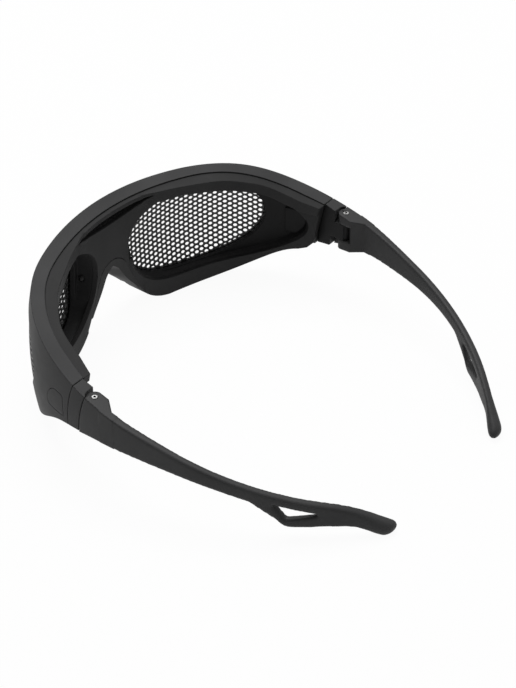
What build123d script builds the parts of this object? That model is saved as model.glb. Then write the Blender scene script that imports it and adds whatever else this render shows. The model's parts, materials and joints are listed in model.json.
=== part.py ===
"""Wrap-round mesh safety goggles: a two-part frame, punched steel lenses, a soft nose piece
and temples on plug-in hinge blocks. Millimetres, +Z up, standing on z = 0, front towards -Y."""
import os
from math import cos, radians, sin, sqrt

from build123d import *

os.makedirs("parts", exist_ok=True)

# Overall sizes
PIN_SPAN = 145.0  # between the two hinge pins
FRAME_DEPTH = 66.1  # from the pins forward to the face of the frame
TEMPLE_LENGTH = 98.0  # from the pins back to the temple tips
PIN_TOP_Z = 36.2  # tops of the pins over the table
BROW_RISE = 17.0  # top of the brow over the pins
PIN_X = PIN_SPAN / 2
PIN_Y = (FRAME_DEPTH - TEMPLE_LENGTH) / 2
FRONT_Y = PIN_Y - FRAME_DEPTH
OVERRUN = 4.0  # how far cutting shapes run past what they cut
RUN_GAP = 0.35  # clearance beside everything that moves

# Wrap of the outer face, seen from above: three arcs, each tangent to the last
WRAP_RADII = (100.2, 57.9, 85.3)
WRAP_TURNS = (23.3, 46.5, 20.2)  # degrees, a quarter turn in all
CROWN_R = 125.0  # its up-and-down crown
CROWN_Z = PIN_TOP_Z - 10.0  # height where the crown bulges most
SHELL_DEPTH = 14.0  # depth of the wrapped wall before it is cut back

# Seam between the front frame and the face-side frame, seen from above
SEAM_SETBACK = 8.3  # seam behind the front, at the middle
SEAM_RADII = (97.5, 49.5, 415.6)
SEAM_TURNS = (22.7, 49.7, 2.6)  # degrees

# Side outline of the front, as shares of FRAME_DEPTH ahead of the pins and of the rise or drop
BROW_LINE_SHARES = ((0.0, 0.0), (0.136, 0.156), (0.402, 0.482), (0.657, 0.776), (0.80, 0.862), (1.06, 1.12))
PANEL_SILL_SHARES = ((0.0, 0.425), (0.16, 0.455), (0.26, 0.50))
SILL_LINE_SHARES = ((0.454, 0.718), (0.605, 0.884), (0.80, 1.0))
# Both seams of the hinge blocks, ahead of the pins and down from their tops
BLOCK_SEAM_SHARES = ((0.103, -0.14), (0.160, 0.18), (0.172, 0.50))
TEMPLE_SEAM_SHARES = ((0.012, -0.10), (0.066, 0.20), (0.088, 0.50))

# Nose arch, half of it, as shares of its half width and height
ARCH_HALF_W = 30.0
ARCH_HEIGHT = 27.2
ARCH_SHARES = ((0.0, 1.0), (0.173, 0.897), (0.270, 0.662), (0.353, 0.511), (0.50, 0.27), (1.0, 0.0))

# Lens openings, drawn square to the middle of each lens
LENS_YAW = 37.0  # degrees that each lens faces outwards
LENS_X = 45.8  # middle of a lens, from the middle of the frame
LENS_AHEAD = 55.2  # middle of a lens, ahead of the pins
LENS_Z = PIN_TOP_Z - 10.25
LENS_HALF_W = 28.05
LENS_HALF_H = 18.25
LENS_SHARES = (
    (-1.0, 0.05), (-0.90, 0.62), (-0.55, 0.93), (0.15, 1.0), (0.76, 0.74),
    (1.0, 0.12), (0.82, -0.46), (0.31, -0.89), (-0.28, -1.0), (-0.86, -0.76),
)
LIP = 1.1  # frame in front of the mesh
MESH_THICK = 0.6
RIM_DEPTH = 3.4  # frame wall round the mesh, from the outer face
MESH_GRIP = 1.5  # mesh held in its groove, beyond the opening
HOLE_PITCH = 3.4
HOLE_D = 2.3
HOLE_SIDES = 6
EDGE_LAND = 0.7  # least metal between the holes and the edge of the opening

# Face-side windows, on the same plane as the lens openings
WINDOW_HALF_W = 35.6
WINDOW_HALF_H = 18.4
WINDOW_SHIFT = 5.85  # its middle, towards the temple from that of the lens
WINDOW_RISE = 0.65  # its middle, above that of the lens
WINDOW_SHARES = (
    (-1.0, 0.19), (-0.92, 0.66), (-0.60, 0.99), (-0.10, 0.97), (0.40, 0.82), (0.80, 0.53),
    (1.0, 0.06), (0.82, -0.46), (0.38, -0.86), (-0.19, -1.02), (-0.69, -0.92), (-0.91, -0.49),
)

# Face-side frame
INNER_WALL = 1.8
LEDGE_W = 6.4  # widest part of the ledge along the brow
LEDGE_H = 4.6
LEDGE_SHARES = (  # along the seam, and of its widest part
    (0.02, 0.28), (0.17, 0.36), (0.25, 0.72), (0.34, 0.92), (0.43, 1.0), (0.52, 0.84), (0.62, 0.69), (0.84, 0.66),
)
LEDGE_STEP = 0.5  # ledge below the shelf in front of it
INNER_END = 12.3  # its rear end ahead of the pins
INNER_END_SHARE = 0.34
LIP_LINE_SHARES = ((0.257, 0.545), (0.303, 0.57), (0.454, 0.722), (0.605, 0.888), (0.80, 1.0))

# Vent between the shelf and the face-side frame
VENT_HALF_W = 22.0
VENT_ROOF = 1.6  # left between the vent and the top of the brow
VENT_H = 3.4
VENT_DEPTH = 4.4

# Soft nose piece: the line of its underside, on the arch's own shares, and its pegs
SADDLE_SHARES = ((0.0, 0.90), (0.09, 0.80), (0.177, 0.64), (0.29, 0.504), (0.40, 0.375))
SADDLE_SETBACK = 0.8  # behind the outer face
PEG_R = 1.0
PEG_HEAD_R = 1.7
PEG_HEAD_T = 1.1
PEG_HEAD_TAPER = 35.0  # degrees
PEG_AHEAD = 61.0
PEG_PLACES = ((12.2, 0.715), (16.6, 0.342))  # out from the middle, and height as a share of PIN_TOP_Z

# Hinges: the temple's ears above and below the block's knuckle
HUB_R = 2.85
KNUCKLE_R = 2.35
PIN_R = 1.0
PIN_FIT = 0.05
PIN_HEIGHT = 15.4
PIN_DIMPLE_R = 0.45
PIN_DIMPLE_H = 0.8
EAR_H = 4.0
EAR_GAP = 0.15
KNUCKLE_H = 7.0
NECK_REAR = 0.8  # web between knuckle and block, behind the pin and ahead of it
NECK_FRONT = 7.1
SKIN_REACH = 2.65  # inside of the temple's outer skin, out from the pin
SLOT_REAR = 4.0  # rear wall of the slot round the knuckle, behind the pin

# Plug of the hinge block in the side panel, on a plane that touches the panel
PANEL_TURN = 73.9  # degrees round the wrap
PANEL_X = 72.96
PANEL_AHEAD = 19.0
PANEL_Z = PIN_TOP_Z - 10.0
SOCKET_FRONT = 7.5  # ahead of the plane's origin
PLUG_REAR = 9.5  # end of the plug inside the block, behind the plane's origin
SOCKET_H = 11.0
SOCKET_TOP_DEPTH = 1.4  # below the outer face
SOCKET_DEPTH = 3.4
SOCKET_FIT = 0.05
PLUG_T = 1.4
SEAM_GAP = 0.3

# Release button: a D-shaped cap on a thin leaf
BUTTON_BOW_SHARES = ((0.1, 1.0), (-0.48, 0.60), (-0.90, -0.10), (-1.0, -0.62), (-0.86, -0.92), (-0.5, -1.0))
BUTTON_REAR_SHARES = ((-0.5, -1.0), (1.0, -0.92), (1.0, 0.80), (0.8, 1.0), (0.1, 1.0))
BUTTON_HALF_W = 5.4
BUTTON_HALF_H = 4.9
BUTTON_GAP = 0.2
LEAF_T = 0.7
LEAF_MARGIN = 0.4

# Temples, seen from above and from the side
TEMPLE_T = 3.0
TEMPLE_RADII = (90.0, 300.0, 105.0)  # of the outer face
TEMPLE_TURNS = (9.0, 3.0, 29.5)  # degrees
ROOT_END = 8.5  # where the thick root ends, behind the pin
TEMPLE_TOP_SHARES = (
    (-0.08, -0.06), (0.0, 0.0), (0.204, 0.150), (0.408, 0.305),
    (0.612, 0.461), (0.775, 0.584), (0.875, 0.668), (0.945, 0.765),
)
TEMPLE_TIP_SHARES = ((0.983, 0.83), (1.0, 0.89), (0.98, 0.94))
TEMPLE_HEEL_SHARES = ((0.945, 0.915), (0.90, 0.889), (0.83, 0.877))
TEMPLE_KICK_SHARES = ((0.755, 0.882), (0.722, 0.875), (0.695, 0.80))
TEMPLE_SOLE_SHARES = ((0.612, 0.614), (0.571, 0.585), (0.44, 0.515), (0.22, 0.447), (0.0, 0.427), (-0.08, 0.46))
SLOT_SHARES = ((0.675, 0.615), (0.712, 0.79), (0.828, 0.735))


def ahead(share):
    return PIN_Y - share * FRAME_DEPTH


def rise(share):
    return PIN_TOP_Z + share * BROW_RISE


def drop(share):
    return PIN_TOP_Z - share * PIN_TOP_Z


def wrap_line():
    """Plan line of the outer face over the left half."""
    front = JernArc(start=(0, FRONT_Y), tangent=(1, 0), radius=WRAP_RADII[0], arc_size=WRAP_TURNS[0])
    turn = JernArc(start=front @ 1, tangent=front % 1, radius=WRAP_RADII[1], arc_size=WRAP_TURNS[1])
    return JernArc(start=turn @ 1, tangent=turn % 1, radius=WRAP_RADII[2], arc_size=WRAP_TURNS[2])


def seam_line(inset=0):
    """Plan line of the seam behind the front frame over the left half, or a line further in."""
    radii = [radius - inset for radius in SEAM_RADII]
    start = (0, FRONT_Y + SEAM_SETBACK + inset)
    front = JernArc(start=start, tangent=(1, 0), radius=radii[0], arc_size=SEAM_TURNS[0])
    turn = JernArc(start=front @ 1, tangent=front % 1, radius=radii[1], arc_size=SEAM_TURNS[1])
    return JernArc(start=turn @ 1, tangent=turn % 1, radius=radii[2], arc_size=SEAM_TURNS[2])


def crown_y(z, depth):
    """How far forward the crowned wall reaches at one height, a depth below its outer face."""
    return FRONT_Y + CROWN_R - sqrt((CROWN_R - depth) ** 2 - (z - CROWN_Z) ** 2)


def wrapped_wall(near, far):
    """The left half of the wrap, between two depths below its outer face."""
    top = PIN_TOP_Z + BROW_RISE + OVERRUN
    bottom = -OVERRUN
    with BuildPart() as wall:
        with BuildSketch(Plane.YZ):
            with BuildLine():
                for depth in (near, far):
                    ThreePointArc(*[(crown_y(z, depth), z) for z in (bottom, CROWN_Z, top)])
                for z in (bottom, top):
                    Line((crown_y(z, near), z), (crown_y(z, far), z))
            make_face()
        with BuildLine() as path:
            wrap_line()
        sweep(path=path.line)
    return wall.part


def front_outline():
    """Side outline of the front and the hinge blocks together, drawn past the front face."""
    brow = [(ahead(a), rise(r)) for a, r in BROW_LINE_SHARES]
    panel = [(ahead(a), drop(d)) for a, d in PANEL_SILL_SHARES]
    sill = [(ahead(a), drop(d)) for a, d in SILL_LINE_SHARES]
    with BuildSketch(Plane.YZ) as outline:
        with BuildLine():
            Spline(brow)
            Spline(panel + sill)
            Polyline(sill[-1], (brow[-1][0], 0), brow[-1])
            Line(brow[0], panel[0])
        make_face()
    return outline.sketch


def behind(seam_shares, gap):
    """Side view of all that lies behind a seam, less a gap."""
    seam = [(ahead(a) + gap, drop(d)) for a, d in seam_shares]
    rear = PIN_Y + TEMPLE_LENGTH + OVERRUN
    with BuildSketch(Plane.YZ) as region:
        with BuildLine():
            ThreePointArc(*seam)
            Polyline(seam[0], (rear, seam[0][1]), (rear, seam[-1][1]), seam[-1])
        make_face()
    return region.sketch


lens_plane = Plane(
    origin=(LENS_X, PIN_Y - LENS_AHEAD, LENS_Z),
    x_dir=(cos(radians(LENS_YAW)), sin(radians(LENS_YAW)), 0),
    z_dir=(sin(radians(LENS_YAW)), -cos(radians(LENS_YAW)), 0),
)


def lens_outline(grow=0):
    """Outline of a lens opening on its own plane, grown all round."""
    points = [(u * (LENS_HALF_W + grow), v * (LENS_HALF_H + grow)) for u, v in LENS_SHARES]
    with BuildSketch() as outline:
        with BuildLine():
            Spline(points, periodic=True)
        make_face()
    return outline.sketch


def window_outline():
    """Outline of a face-side window on the same plane."""
    points = [
        (WINDOW_SHIFT + u * WINDOW_HALF_W, WINDOW_RISE + v * WINDOW_HALF_H) for u, v in WINDOW_SHARES
    ]
    with BuildSketch() as outline:
        with BuildLine():
            Spline(points, periodic=True)
        make_face()
    return outline.sketch


LENS_REACH = 28.0  # how far the cuts square to a lens reach each way


def lens_cutter(outline):
    """A column square to the lens."""
    with BuildPart() as column:
        with BuildSketch(lens_plane):
            add(outline)
        extrude(amount=LENS_REACH, both=True)
    return column.part


def face_side(inset):
    """Plan of all that lies on the face side of the seam, or of a line further in."""
    with BuildSketch() as region:
        with BuildLine() as seam:
            seam_line(inset)
            end = seam.line @ 1
            rear = PIN_Y + OVERRUN
            Polyline(end, (end.X, rear), (0, rear), (0, FRONT_Y + SEAM_SETBACK + inset))
        make_face()
    return region.sketch


with BuildPart() as nose_arch:
    with BuildSketch(Plane.XZ):
        with BuildLine():
            arch = [(x * ARCH_HALF_W, z * ARCH_HEIGHT) for x, z in ARCH_SHARES]
            Spline(arch)
            Polyline(arch[-1], (arch[-1][0], -OVERRUN), (0, -OVERRUN), arch[0])
        make_face()
    extrude(amount=-FRONT_Y + OVERRUN)

with BuildPart() as window_room:
    add(wrapped_wall(RIM_DEPTH, SHELL_DEPTH))
    add(lens_cutter(window_outline()), mode=Mode.INTERSECT)

with BuildPart() as mesh_blank:
    add(wrapped_wall(LIP, LIP + MESH_THICK))
    add(lens_cutter(lens_outline(MESH_GRIP)), mode=Mode.INTERSECT)

with BuildPart() as front_half:
    add(wrapped_wall(0, SHELL_DEPTH))
    add(extrude(front_outline(), amount=PIN_SPAN, mode=Mode.PRIVATE), mode=Mode.INTERSECT)
    extrude(face_side(0), amount=PIN_TOP_Z + BROW_RISE + OVERRUN, mode=Mode.SUBTRACT)
    extrude(behind(BLOCK_SEAM_SHARES, 0), amount=PIN_SPAN, mode=Mode.SUBTRACT)
    add(nose_arch.part, mode=Mode.SUBTRACT)
    add(window_room.part, mode=Mode.SUBTRACT)
    add(mesh_blank.part, mode=Mode.SUBTRACT)
    add(lens_cutter(lens_outline()), mode=Mode.SUBTRACT)


def seam_strip(inner_points=None):
    """Plan of a strip on the face side of the seam: as wide as the wall, or out to a curve."""
    start = FRONT_Y + SEAM_SETBACK
    with BuildSketch() as strip:
        with BuildLine() as lines:
            seam_line()
            end = lines.line @ 1
            if inner_points:
                curve = Spline(inner_points, tangents=((1, 0), seam_wire % 1))
                Line(end, curve @ 1)
                Line((0, start), curve @ 0)
            else:
                last = seam_line(INNER_WALL)
                Line(end, last @ 1)
                Line((0, start), (0, start + INNER_WALL))
        make_face()
    return strip.sketch


def inner_outline(top, bottom=None):
    """Side outline of the face-side frame below a line under the brow, or of a band that thick."""
    brow = [(ahead(a), rise(r) - top) for a, r in BROW_LINE_SHARES]
    with BuildSketch(Plane.YZ) as outline:
        with BuildLine():
            Spline(brow)
            if bottom:
                low = [(y, z - bottom) for y, z in brow]
                Spline(low)
                Line(brow[0], low[0])
                Line(brow[-1], low[-1])
            else:
                lip = [(ahead(a), drop(d)) for a, d in LIP_LINE_SHARES]
                Polyline(brow[0], (brow[0][0], drop(INNER_END_SHARE)), lip[0])
                Spline(lip)
                Polyline(lip[-1], (brow[-1][0], 0), brow[-1])
        make_face()
    return outline.sketch


with BuildLine(mode=Mode.PRIVATE) as seam_path:
    seam_line()
seam_wire = seam_path.line
ledge_points = []
for along, width in LEDGE_SHARES:
    inward = (seam_wire % along).rotate(Axis.Z, 90)
    ledge_points.append(seam_wire @ along + inward * width * LEDGE_W)
ledge_points = [Vector(0, ledge_points[0].Y, 0)] + ledge_points

with BuildPart() as ledge:
    extrude(seam_strip(ledge_points), amount=PIN_TOP_Z + BROW_RISE)
    add(extrude(inner_outline(LEDGE_STEP, LEDGE_H), amount=PIN_SPAN, mode=Mode.PRIVATE), mode=Mode.INTERSECT)

with BuildPart() as inner_half:
    extrude(seam_strip(), amount=PIN_TOP_Z + BROW_RISE)
    add(ledge.part)
    add(extrude(inner_outline(LEDGE_STEP), amount=PIN_SPAN, mode=Mode.PRIVATE), mode=Mode.INTERSECT)
    with BuildSketch():
        with Locations((PIN_X, PIN_Y - INNER_END)):
            Rectangle(PIN_X, PIN_X, align=(Align.CENTER, Align.MIN))
    extrude(amount=PIN_TOP_Z + BROW_RISE, mode=Mode.SUBTRACT)
    add(nose_arch.part, mode=Mode.SUBTRACT)
    add(lens_cutter(window_outline()), mode=Mode.SUBTRACT)

with BuildPart() as saddle_half:
    add(wrapped_wall(SADDLE_SETBACK, SHELL_DEPTH))
    add(nose_arch.part, mode=Mode.INTERSECT)
    extrude(face_side(INNER_WALL), amount=PIN_TOP_Z + BROW_RISE + OVERRUN, both=True, mode=Mode.SUBTRACT)
    with BuildSketch(Plane.XZ):
        with BuildLine():
            underside = [(x * ARCH_HALF_W, z * ARCH_HEIGHT) for x, z in SADDLE_SHARES]
            Spline(underside)
            outside = ARCH_HALF_W + OVERRUN
            Polyline(underside[-1], (outside, underside[-1][1]), (outside, -OVERRUN), (0, -OVERRUN), underside[0])
        make_face()
    extrude(amount=-FRONT_Y + OVERRUN, mode=Mode.SUBTRACT)

with BuildPart() as pegs:
    for out, height in PEG_PLACES:
        peg_plane = Plane(origin=(0, PIN_Y - PEG_AHEAD, height * PIN_TOP_Z), x_dir=(0, 1, 0), z_dir=(1, 0, 0))
        with BuildSketch(peg_plane):
            Circle(PEG_R)
        extrude(amount=out)
        with BuildSketch(peg_plane.offset(out)):
            Circle(PEG_HEAD_R)
        extrude(amount=PEG_HEAD_T, taper=PEG_HEAD_TAPER)
    add(nose_arch.part, mode=Mode.SUBTRACT)

with BuildPart() as nose_saddle:
    add(saddle_half.part)
    add(pegs.part)
    mirror(about=Plane.YZ)

field = lens_outline(-EDGE_LAND - HOLE_D / 2).faces()[0]
column_step = HOLE_PITCH * sin(radians(60))
columns = int(LENS_HALF_W / column_step) + 1
rows = int(LENS_HALF_H / HOLE_PITCH) + 1
hole_places = []
for column in range(-columns, columns + 1):
    for row in range(-rows, rows + 1):
        stagger = (column % 2) / 2
        place = (column * column_step, (row + stagger) * HOLE_PITCH)
        if field.is_inside(Vector(*place)):
            hole_places.append(place)
print("holes in each lens:", len(hole_places))

with BuildPart() as mesh_lens_left:
    add(mesh_blank.part)
    with BuildSketch(lens_plane):
        with Locations(*hole_places):
            RegularPolygon(radius=HOLE_D / 2, side_count=HOLE_SIDES)
    extrude(amount=LENS_REACH, both=True, mode=Mode.SUBTRACT)

with BuildPart() as mesh_lens_right:
    mirror(mesh_lens_left.part, about=Plane.YZ)

panel_plane = Plane(
    origin=(PANEL_X, PIN_Y - PANEL_AHEAD, PANEL_Z),
    x_dir=(cos(radians(PANEL_TURN)), sin(radians(PANEL_TURN)), 0),
    z_dir=(sin(radians(PANEL_TURN)), -cos(radians(PANEL_TURN)), 0),
)


def button_prism(shrink):
    """The D of the button, through the side panel."""
    half_w, half_h = BUTTON_HALF_W - shrink, BUTTON_HALF_H - shrink
    with BuildPart() as prism:
        with BuildSketch(panel_plane):
            with BuildLine():
                Spline([(x * half_w, z * half_h) for x, z in BUTTON_BOW_SHARES])
                Polyline(*[(x * half_w, z * half_h) for x, z in BUTTON_REAR_SHARES])
            make_face()
        extrude(amount=SOCKET_TOP_DEPTH * 2, both=True)
    return prism.part


def panel_box(front, rear, height, top, bottom):
    """A box in the side panel, between two depths below the plane."""
    with BuildPart() as box:
        with BuildSketch(panel_plane.offset(-top)):
            with Locations(((rear - front) / 2, 0)):
                Rectangle(rear + front, height)
        extrude(amount=top - bottom)
    return box.part


with BuildPart() as button_half:
    add(wrapped_wall(0, SOCKET_TOP_DEPTH + LEAF_T))
    add(button_prism(BUTTON_GAP), mode=Mode.INTERSECT)
    reach = SOCKET_FRONT + OVERRUN
    add(panel_box(reach, reach, SOCKET_H, -OVERRUN, SOCKET_TOP_DEPTH + LEAF_T), mode=Mode.INTERSECT)
    add(
        panel_box(
            SOCKET_FRONT - LEAF_MARGIN,
            BUTTON_HALF_W - LEAF_MARGIN,
            SOCKET_H - 2 * LEAF_MARGIN,
            SOCKET_TOP_DEPTH + 2 * SOCKET_FIT,
            SOCKET_TOP_DEPTH + LEAF_T,
        )
    )

with BuildPart() as release_button_left:
    add(button_half.part)
with BuildPart() as release_button_right:
    mirror(button_half.part, about=Plane.YZ)

socket_floor = SOCKET_TOP_DEPTH + SOCKET_DEPTH
socket = panel_box(SOCKET_FRONT, SOCKET_FRONT + OVERRUN, SOCKET_H, SOCKET_TOP_DEPTH, socket_floor)
vent_top = rise(BROW_LINE_SHARES[-2][1]) - VENT_ROOF
with BuildPart() as vent:
    with BuildSketch(Plane.XZ.offset(-FRONT_Y - SEAM_SETBACK - INNER_WALL - OVERRUN)):
        with BuildLine():
            ThreePointArc((-VENT_HALF_W, vent_top), (0, vent_top - VENT_H), (VENT_HALF_W, vent_top))
            Line((-VENT_HALF_W, vent_top), (VENT_HALF_W, vent_top))
        make_face()
    extrude(amount=OVERRUN + INNER_WALL + VENT_DEPTH)

with BuildPart() as front_frame:
    add(front_half.part)
    add(socket, mode=Mode.SUBTRACT)
    add(button_prism(0), mode=Mode.SUBTRACT)
    add(pegs.part, mode=Mode.SUBTRACT)
    mirror(about=Plane.YZ)
    add(vent.part, mode=Mode.SUBTRACT)

with BuildPart() as inner_frame:
    add(inner_half.part)
    mirror(about=Plane.YZ)
    add(vent.part, mode=Mode.SUBTRACT)

pin_axis = (PIN_X, PIN_Y)
knuckle_top = PIN_TOP_Z - EAR_H - EAR_GAP
knuckle_bottom = knuckle_top - KNUCKLE_H
plug_floor = socket_floor - SOCKET_FIT
with BuildPart() as hinge_block_left:
    add(wrapped_wall(0, SHELL_DEPTH))
    add(extrude(front_outline(), amount=PIN_SPAN, mode=Mode.PRIVATE), mode=Mode.INTERSECT)
    add(extrude(behind(BLOCK_SEAM_SHARES, SEAM_GAP), amount=PIN_SPAN, mode=Mode.PRIVATE), mode=Mode.INTERSECT)
    extrude(behind(TEMPLE_SEAM_SHARES, 0), amount=PIN_SPAN, mode=Mode.SUBTRACT)
    with BuildSketch():
        with Locations((PIN_X - HUB_R, PIN_Y)):
            Rectangle(SHELL_DEPTH, FRAME_DEPTH, align=(Align.MAX, Align.CENTER))
    extrude(amount=PIN_TOP_Z + BROW_RISE, mode=Mode.SUBTRACT)
    with BuildSketch():
        with Locations(pin_axis):
            Circle(HUB_R + RUN_GAP)
            Rectangle(SHELL_DEPTH, HUB_R + RUN_GAP, align=(Align.MAX, Align.MAX))
    extrude(amount=PIN_TOP_Z + BROW_RISE, mode=Mode.SUBTRACT)
    with BuildSketch(Plane.XY.offset(knuckle_bottom)):
        with Locations(pin_axis):
            Circle(KNUCKLE_R)
        with Locations((PIN_X - HUB_R, PIN_Y + NECK_REAR)):
            Rectangle(HUB_R + KNUCKLE_R, NECK_REAR + NECK_FRONT, align=(Align.MIN, Align.MAX))
    extrude(amount=knuckle_top - knuckle_bottom)
    plug_h = SOCKET_H - 2 * SOCKET_FIT
    add(panel_box(SOCKET_FRONT - SOCKET_FIT, PLUG_REAR, plug_h, plug_floor - PLUG_T, plug_floor))
    with BuildSketch():
        with Locations(pin_axis):
            Circle(PIN_R + PIN_FIT)
    extrude(amount=PIN_TOP_Z + BROW_RISE, mode=Mode.SUBTRACT)

with BuildPart() as hinge_pin_left:
    with BuildSketch(Plane.XY.offset(PIN_TOP_Z - PIN_HEIGHT)):
        with Locations(pin_axis):
            Circle(PIN_R)
    extrude(amount=PIN_HEIGHT)
    with BuildSketch(Plane.XY.offset(PIN_TOP_Z)):
        with Locations(pin_axis):
            Circle(PIN_DIMPLE_R)
    extrude(amount=-PIN_DIMPLE_H, mode=Mode.SUBTRACT)


def temple_point(share):
    return (PIN_Y + share[0] * TEMPLE_LENGTH, drop(share[1]))


def temple_outline():
    """Side outline of a temple, from the hinge to the turned-down tip."""
    kick = [temple_point(s) for s in TEMPLE_KICK_SHARES]
    tip = [temple_point(s) for s in TEMPLE_TIP_SHARES]
    heel = [temple_point(s) for s in TEMPLE_HEEL_SHARES]
    sole = [temple_point(s) for s in TEMPLE_SOLE_SHARES]
    crest = [temple_point(s) for s in TEMPLE_TOP_SHARES]
    with BuildSketch(Plane.YZ) as outline:
        with BuildLine():
            Spline(crest + tip[:1])
            ThreePointArc(*tip)
            Spline(tip[-1:] + heel + kick[:1])
            ThreePointArc(*kick)
            Line(kick[-1], sole[0])
            Spline(sole)
            Line(sole[-1], crest[0])
        make_face()
    return outline.sketch


with BuildLine(mode=Mode.PRIVATE) as wrap_path:
    wrap_line()
wrap_end = wrap_path.line @ 1

with BuildPart() as arm_wall:
    with BuildSketch(Plane(origin=(wrap_end.X, wrap_end.Y, 0), x_dir=(1, 0, 0), z_dir=(0, -1, 0))):
        Rectangle(TEMPLE_T, 3 * PIN_TOP_Z, align=(Align.MAX, Align.CENTER))
    with BuildLine() as temple_path:
        arm = JernArc(start=wrap_end, tangent=(0, 1), radius=TEMPLE_RADII[0], arc_size=TEMPLE_TURNS[0])
        waist = JernArc(start=arm @ 1, tangent=arm % 1, radius=TEMPLE_RADII[1], arc_size=TEMPLE_TURNS[1])
        bend = JernArc(start=waist @ 1, tangent=waist % 1, radius=TEMPLE_RADII[2], arc_size=TEMPLE_TURNS[2])
        Line(bend @ 1, bend @ 1 + (bend % 1) * TEMPLE_LENGTH / 3)
    sweep(path=temple_path.line)

with BuildPart() as root_wall:
    add(wrapped_wall(0, TEMPLE_T))
    extrude(behind(TEMPLE_SEAM_SHARES, RUN_GAP), amount=PIN_SPAN, mode=Mode.INTERSECT)

with BuildPart() as root:
    with BuildSketch() as root_plan:
        with Locations(pin_axis):
            Circle(HUB_R)
        with BuildLine():
            Polyline(
                (PIN_X - HUB_R, PIN_Y),
                (PIN_X - HUB_R, PIN_Y + SLOT_REAR),
                (wrap_end.X - TEMPLE_T, PIN_Y + ROOT_END),
                (wrap_end.X - TEMPLE_T / 2, PIN_Y + ROOT_END),
                (wrap_end.X - TEMPLE_T / 2, PIN_Y),
                close=True,
            )
        make_face()
    extrude(amount=PIN_TOP_Z)

with BuildPart() as temple_left:
    add(arm_wall.part)
    add(root_wall.part)
    add(root.part)
    extrude(temple_outline(), amount=PIN_SPAN, mode=Mode.INTERSECT)
    with BuildSketch(Plane.YZ):
        with BuildLine():
            Polyline(*[temple_point(s) for s in SLOT_SHARES], close=True)
        make_face()
    extrude(amount=PIN_SPAN, mode=Mode.SUBTRACT)
    with BuildSketch(Plane.XY.offset(knuckle_bottom - EAR_GAP)):
        with Locations((PIN_X - HUB_R, PIN_Y + SLOT_REAR)):
            Rectangle(HUB_R + SKIN_REACH, PIN_Y - FRONT_Y, align=(Align.MIN, Align.MAX))
    extrude(amount=knuckle_top - knuckle_bottom + 2 * EAR_GAP, mode=Mode.SUBTRACT)
    with BuildSketch():
        with Locations(pin_axis):
            Circle(PIN_R)
    extrude(amount=2 * PIN_TOP_Z, mode=Mode.SUBTRACT)

with BuildPart() as hinge_block_right:
    mirror(hinge_block_left.part, about=Plane.YZ)

with BuildPart() as hinge_pin_right:
    mirror(hinge_pin_left.part, about=Plane.YZ)

with BuildPart() as temple_right:
    mirror(temple_left.part, about=Plane.YZ)

for name, piece in (
    ("front_frame", front_frame),
    ("inner_frame", inner_frame),
    ("nose_saddle", nose_saddle),
    ("mesh_lens_left", mesh_lens_left),
    ("mesh_lens_right", mesh_lens_right),
    ("release_button_left", release_button_left),
    ("release_button_right", release_button_right),
    ("hinge_block_left", hinge_block_left),
    ("hinge_block_right", hinge_block_right),
    ("hinge_pin_left", hinge_pin_left),
    ("hinge_pin_right", hinge_pin_right),
    ("temple_left", temple_left),
    ("temple_right", temple_right),
):
    piece.part.label = name
    export_step(piece.part, f"parts/{name}.step")
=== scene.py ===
"""Looks of the wrap-round mesh safety goggles: finishes, punched lens sheets, camera and light."""

import json
from math import cos, radians, sin, sqrt, tan

import bmesh
import bpy
import numpy as np
from mathutils import Matrix, Vector


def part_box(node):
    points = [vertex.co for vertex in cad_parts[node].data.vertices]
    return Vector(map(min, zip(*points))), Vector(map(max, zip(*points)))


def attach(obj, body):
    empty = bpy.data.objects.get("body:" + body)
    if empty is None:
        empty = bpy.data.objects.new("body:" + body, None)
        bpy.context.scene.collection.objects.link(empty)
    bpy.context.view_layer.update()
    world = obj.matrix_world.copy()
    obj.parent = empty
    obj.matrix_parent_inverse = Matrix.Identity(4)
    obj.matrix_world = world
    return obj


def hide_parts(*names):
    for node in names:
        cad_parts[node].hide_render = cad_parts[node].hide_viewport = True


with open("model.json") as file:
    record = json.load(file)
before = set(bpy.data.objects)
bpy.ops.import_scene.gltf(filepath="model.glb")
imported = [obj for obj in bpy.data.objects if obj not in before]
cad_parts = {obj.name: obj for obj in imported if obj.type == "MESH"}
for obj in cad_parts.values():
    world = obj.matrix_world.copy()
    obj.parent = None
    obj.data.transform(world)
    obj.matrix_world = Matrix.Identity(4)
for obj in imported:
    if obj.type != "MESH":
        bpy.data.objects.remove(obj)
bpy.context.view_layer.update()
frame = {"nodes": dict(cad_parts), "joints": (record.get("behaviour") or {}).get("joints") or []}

MM = 0.001
JOIN = 0.001 * MM  # points nearer than this are one

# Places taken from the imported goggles
LEFT_FOLD = next(joint for joint in frame["joints"] if joint["name"] == "temple_left_fold")
PIN_X, PIN_Y = LEFT_FOLD["pos_m"][:2]
PIN_TOP_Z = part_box("hinge_pin_left")[1][2]
FRONT_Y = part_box("front_frame")[0][1]

# Wrap of the outer face, seen from above: three arcs, each tangent to the last
WRAP_RADII = (100.2 * MM, 57.9 * MM, 85.3 * MM)
WRAP_TURNS = (23.3, 46.5, 20.2)
CROWN_R = 125.0 * MM
CROWN_Z = PIN_TOP_Z - 10.0 * MM
WRAP_STEPS = 240  # of the wrap's line, as drawn for bending the sheets

# Seam between the two frames, and the nose arch, half of it
SEAM_SETBACK = 8.3 * MM
SEAM_RADII = (97.5 * MM, 49.5 * MM, 415.6 * MM)
SEAM_TURNS = (22.7, 49.7, 2.6)
SEAM_LENGTH_MM = 110  # of its left half, measured every millimetre
ARCH_HALF_W = 30.0 * MM
ARCH_HEIGHT = 27.2 * MM
ARCH_SHARES = ((0.0, 1.0), (0.173, 0.897), (0.270, 0.662), (0.353, 0.511), (0.50, 0.27), (1.0, 0.0))

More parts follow.
